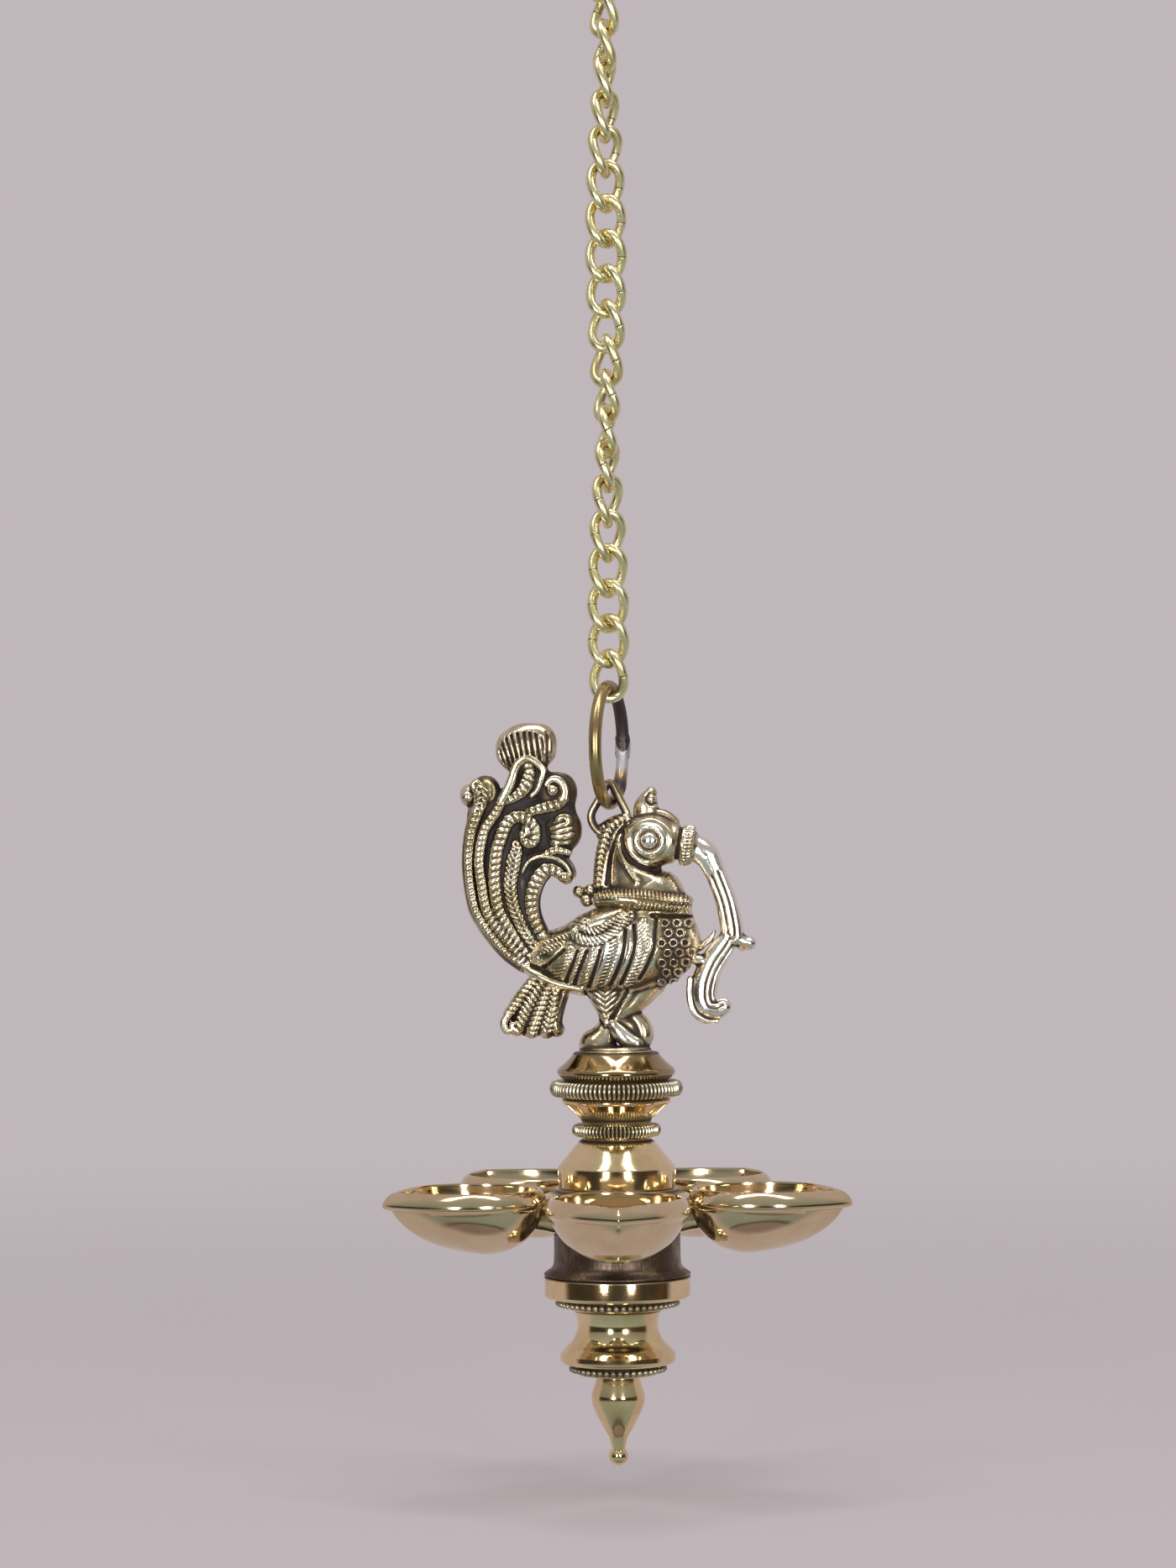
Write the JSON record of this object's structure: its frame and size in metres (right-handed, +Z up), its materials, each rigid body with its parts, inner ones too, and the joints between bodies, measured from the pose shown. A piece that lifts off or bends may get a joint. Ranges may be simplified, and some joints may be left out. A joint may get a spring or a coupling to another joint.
{
  "type": "hanging oil lamp",
  "caption": "Brass oil lamp with pointed bowls around a turned stem, topped by a plumed bird casting, hanging by a ring from a twisted-link chain.",
  "frame": {"origin": "the point where the hook's crook bears on whatever holds it, with the chain's line below it", "axes": "+Z up along the chain's line, +X the way the bird faces, one bowl along -Y"},
  "size_m": [0.1236, 0.1182, 0.4318],
  "materials": {
    "chain_brass": "satin drawn brass wire",
    "ring_bronze": "dull bronze wire with dark patches",
    "solder": "matt solder",
    "antique_brass": "cast brass, polished on the high places and dark in the recesses",
    "polished_brass": "polished brass",
    "dark_brass": "dark brown unpolished brass",
    "rod_brass": "plain brass"
  },
  "bodies": {
    "hook": {"ceiling_hook": "chain_brass"},
    "link_01": {"link_01": "chain_brass"},
    "link_02": {"link_02": "chain_brass"},
    "link_03": {"link_03": "chain_brass"},
    "link_04": {"link_04": "chain_brass"},
    "link_05": {"link_05": "chain_brass"},
    "link_06": {"link_06": "chain_brass"},
    "link_07": {"link_07": "chain_brass"},
    "link_08": {"link_08": "chain_brass"},
    "link_09": {"link_09": "chain_brass"},
    "link_10": {"link_10": "chain_brass"},
    "link_11": {"link_11": "chain_brass"},
    "link_12": {"link_12": "chain_brass"},
    "link_13": {"link_13": "chain_brass"},
    "link_14": {"link_14": "chain_brass"},
    "link_15": {"link_15": "chain_brass"},
    "link_16": {"link_16": "chain_brass"},
    "link_17": {"link_17": "chain_brass"},
    "link_18": {"link_18": "chain_brass"},
    "link_19": {"link_19": "chain_brass"},
    "link_20": {"link_20": "chain_brass"},
    "link_21": {"link_21": "chain_brass"},
    "ring": {"suspension_ring": "ring_bronze", "ring_solder": "solder"},
    "lamp": {"hanging_eye": "antique_brass", "bird": "antique_brass", "pedestal": "polished_brass", "bowl_tray": "polished_brass", "stem_collar": "dark_brass", "beaded_flange": "polished_brass", "waisted_spool": "polished_brass", "finial": "polished_brass", "tie_rod": "rod_brass"}
  },
  "joints": [
    {"name": "link_01_swing", "type": "hinge", "parent": "hook", "child": "link_01", "pos_m": [0, 0, -0.0273], "axis": [1, 0, 0], "range_deg": [-30, 30]},
    {"name": "link_02_swing", "type": "hinge", "parent": "link_01", "child": "link_02", "pos_m": [0, 0, -0.03345], "axis": [-0.1736, -0.9848, 0], "range_deg": [-30, 30]},
    {"name": "link_03_swing", "type": "hinge", "parent": "link_02", "child": "link_03", "pos_m": [0, 0, -0.04565], "axis": [-0.8829, 0.4695, 0], "range_deg": [-30, 30]},
    {"name": "link_04_swing", "type": "hinge", "parent": "link_03", "child": "link_04", "pos_m": [0, 0, -0.05215], "axis": [0.6947, 0.7193, 0], "range_deg": [-30, 30]},
    {"name": "link_05_swing", "type": "hinge", "parent": "link_04", "child": "link_05", "pos_m": [0, 0, -0.06435], "axis": [-0.4695, 0.8829, 0], "range_deg": [-30, 30]},
    {"name": "link_06_swing", "type": "hinge", "parent": "link_05", "child": "link_06", "pos_m": [0, 0, -0.07085], "axis": [-0.9781, -0.2079, 0], "range_deg": [-30, 30]},
    {"name": "link_07_swing", "type": "hinge", "parent": "link_06", "child": "link_07", "pos_m": [0, 0, -0.08305], "axis": [-0.1045, -0.9945, 0], "range_deg": [-30, 30]},
    {"name": "link_08_swing", "type": "hinge", "parent": "link_07", "child": "link_08", "pos_m": [0, 0, -0.08955], "axis": [0.9272, -0.3746, 0], "range_deg": [-30, 30]},
    {"name": "link_09_swing", "type": "hinge", "parent": "link_08", "child": "link_09", "pos_m": [0, 0, -0.10175], "axis": [0.6428, 0.766, 0], "range_deg": [-30, 30]},
    {"name": "link_10_swing", "type": "hinge", "parent": "link_09", "child": "link_10", "pos_m": [0, 0, -0.10825], "axis": [-0.5592, 0.829, 0], "range_deg": [-30, 30]},
    {"name": "link_11_swing", "type": "hinge", "parent": "link_10", "child": "link_11", "pos_m": [0, 0, -0.12045], "axis": [-0.9613, -0.2756, 0], "range_deg": [-30, 30]},
    {"name": "link_12_swing", "type": "hinge", "parent": "link_11", "child": "link_12", "pos_m": [0, 0, -0.12695], "axis": [0, -1, 0], "range_deg": [-30, 30]},
    {"name": "link_13_swing", "type": "hinge", "parent": "link_12", "child": "link_13", "pos_m": [0, 0, -0.13915], "axis": [0.9511, -0.309, 0], "range_deg": [-30, 30]},
    {"name": "link_14_swing", "type": "hinge", "parent": "link_13", "child": "link_14", "pos_m": [0, 0, -0.14565], "axis": [0.5592, 0.829, 0], "range_deg": [-30, 30]},
    {"name": "link_15_swing", "type": "hinge", "parent": "link_14", "child": "link_15", "pos_m": [0, 0, -0.15785], "axis": [-0.6157, 0.788, 0], "range_deg": [-30, 30]},
    {"name": "link_16_swing", "type": "hinge", "parent": "link_15", "child": "link_16", "pos_m": [0, 0, -0.16435], "axis": [-0.9272, -0.3746, 0], "range_deg": [-30, 30]},
    {"name": "link_17_swing", "type": "hinge", "parent": "link_16", "child": "link_17", "pos_m": [0, 0, -0.17655], "axis": [0.0698, -0.9976, 0], "range_deg": [-30, 30]},
    {"name": "link_18_swing", "type": "hinge", "parent": "link_17", "child": "link_18", "pos_m": [0, 0, -0.18305], "axis": [0.9781, -0.2079, 0], "range_deg": [-30, 30]},
    {"name": "link_19_swing", "type": "hinge", "parent": "link_18", "child": "link_19", "pos_m": [0, 0, -0.19525], "axis": [0.5, 0.866, 0], "range_deg": [-30, 30]},
    {"name": "link_20_swing", "type": "hinge", "parent": "link_19", "child": "link_20", "pos_m": [0, 0, -0.20175], "axis": [-0.6947, 0.7193, 0], "range_deg": [-30, 30]},
    {"name": "link_21_swing", "type": "hinge", "parent": "link_20", "child": "link_21", "pos_m": [0, 0, -0.21395], "axis": [-0.8988, -0.4384, 0], "range_deg": [-30, 30]},
    {"name": "ring_swing", "type": "hinge", "parent": "link_21", "child": "ring", "pos_m": [0, 0, -0.2233], "axis": [0.9877, 0.1564, 0], "range_deg": [-20, 20]},
    {"name": "lamp_swing", "type": "hinge", "parent": "ring", "child": "lamp", "pos_m": [0, 0, -0.2514], "axis": [0.2419, 0.9703, 0], "range_deg": [-30, 30]}
  ]
}
